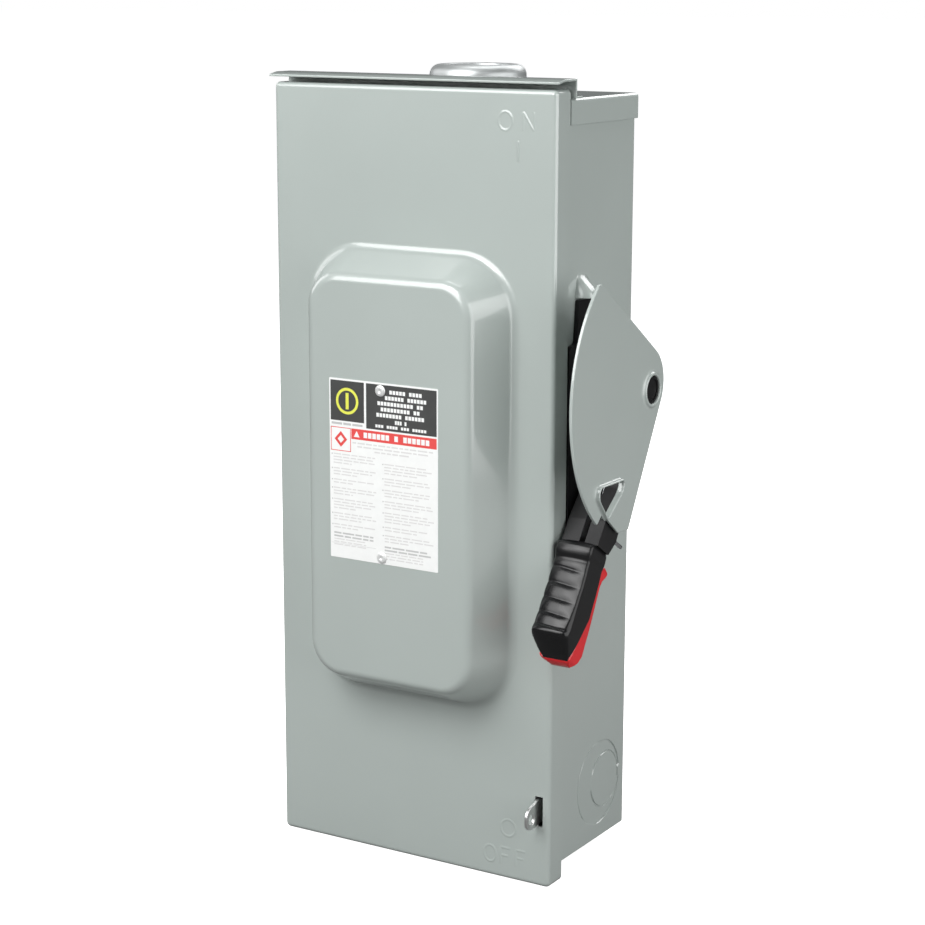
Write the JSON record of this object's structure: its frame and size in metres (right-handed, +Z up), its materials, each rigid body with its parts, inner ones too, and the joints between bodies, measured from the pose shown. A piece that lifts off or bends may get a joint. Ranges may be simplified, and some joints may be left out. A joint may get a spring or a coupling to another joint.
{
  "type": "ac disconnect box",
  "caption": "Side-operated fused safety switch in a rainproof grey steel box, with hinged domed door, external handle, guard and padlock points.",
  "frame": {"origin": "centre of the four wall holes, on the wall side of the mounting pads", "axes": "+X to the handle side, +Y into the wall, +Z up"},
  "size_m": [0.2592, 0.1496, 0.538],
  "materials": {
    "grey_paint": "satin",
    "cast_zinc": "satin",
    "zinc_plate": "satin",
    "bare_steel": "satin",
    "bronze": "satin",
    "copper": "satin",
    "lug_metal": "satin",
    "lug_screw": "satin",
    "green_screw": "satin",
    "gasket": "matte",
    "black_plastic": "gloss",
    "black_metal": "satin",
    "red_plastic": "satin",
    "moulded_base": "satin",
    "arc_fibre": "matte",
    "clear_shield": "gloss",
    "fuse_barrel": "satin",
    "label_film": "satin"
  },
  "bodies": {
    "enclosure": {"enclosure_body": "grey_paint", "top_endcap": "grey_paint", "bottom_endwall": "grey_paint", "rain_hood": "grey_paint", "hub_plate": "cast_zinc", "hub_gasket": "gasket", "hub_screws": "zinc_plate", "box_hinge_leaves": "grey_paint", "hinge_pins": "zinc_plate", "slot_shield": "black_plastic", "slot_hood": "grey_paint", "handle_guard": "grey_paint", "guard_screws": "zinc_plate", "mechanism_frame": "zinc_plate", "shaft_bushing": "bronze", "main_spring": "bare_steel", "interlock_lever": "zinc_plate", "rotor_bearing": "moulded_base", "line_base": "moulded_base", "line_jaws": "copper", "line_lugs": "lug_metal", "line_lug_screws": "lug_screw", "arc_chutes": "arc_fibre", "arc_plates": "bare_steel", "line_shield": "clear_shield", "load_base": "moulded_base", "hinge_contacts": "copper", "fuse_clips": "copper", "fuse_barrels": "fuse_barrel", "fuse_caps": "copper", "load_lugs": "lug_metal", "load_lug_screws": "lug_screw", "ground_bar": "lug_metal", "ground_screws": "green_screw", "base_screws": "zinc_plate"},
    "door": {"door_panel": "grey_paint", "label_plate": "label_film", "label_rivets": "zinc_plate", "door_hinge_leaves": "grey_paint", "latch_plate": "zinc_plate", "latch_bracket": "zinc_plate", "latch_pin": "bare_steel", "latch_spring": "bare_steel", "interlock_hook": "zinc_plate", "diagram_sheet": "label_film"},
    "handle": {"drive_shaft": "bare_steel", "pivot_cap": "black_plastic", "handle_arm": "black_metal", "lock_blade": "bare_steel", "arm_pin": "bare_steel", "grip": "black_plastic", "grip_back": "red_plastic", "drive_crank": "zinc_plate"},
    "rotor": {"rotor_bar": "moulded_base", "switch_blades": "copper", "rotor_crank": "zinc_plate"},
    "latch": {"latch_tab": "zinc_plate"}
  },
  "joints": [
    {"name": "door_hinge", "type": "hinge", "parent": "enclosure", "child": "door", "pos_m": [-0.112, -0.0924, 0], "axis": [0, 0, -1], "range_deg": [0, 120]},
    {"name": "handle_pivot", "type": "hinge", "parent": "enclosure", "child": "handle", "pos_m": [0, -0.041, 0.064], "axis": [-1, 0, 0], "range_deg": [0, 100]},
    {"name": "rotor_turn", "type": "hinge", "parent": "enclosure", "child": "rotor", "pos_m": [0, -0.041, 0.064], "axis": [-1, 0, 0], "range_deg": [0, 56]},
    {"name": "latch_pivot", "type": "hinge", "parent": "door", "child": "latch", "pos_m": [0.0988, -0.1004, -0.211], "axis": [-1, 0, 0], "range_deg": [0, 4], "stiffness_Nm_per_rad": 0.02}
  ],
  "couplings": [
    {"joint": "rotor_turn", "follows": "handle_pivot", "ratio": 0.56}
  ]
}
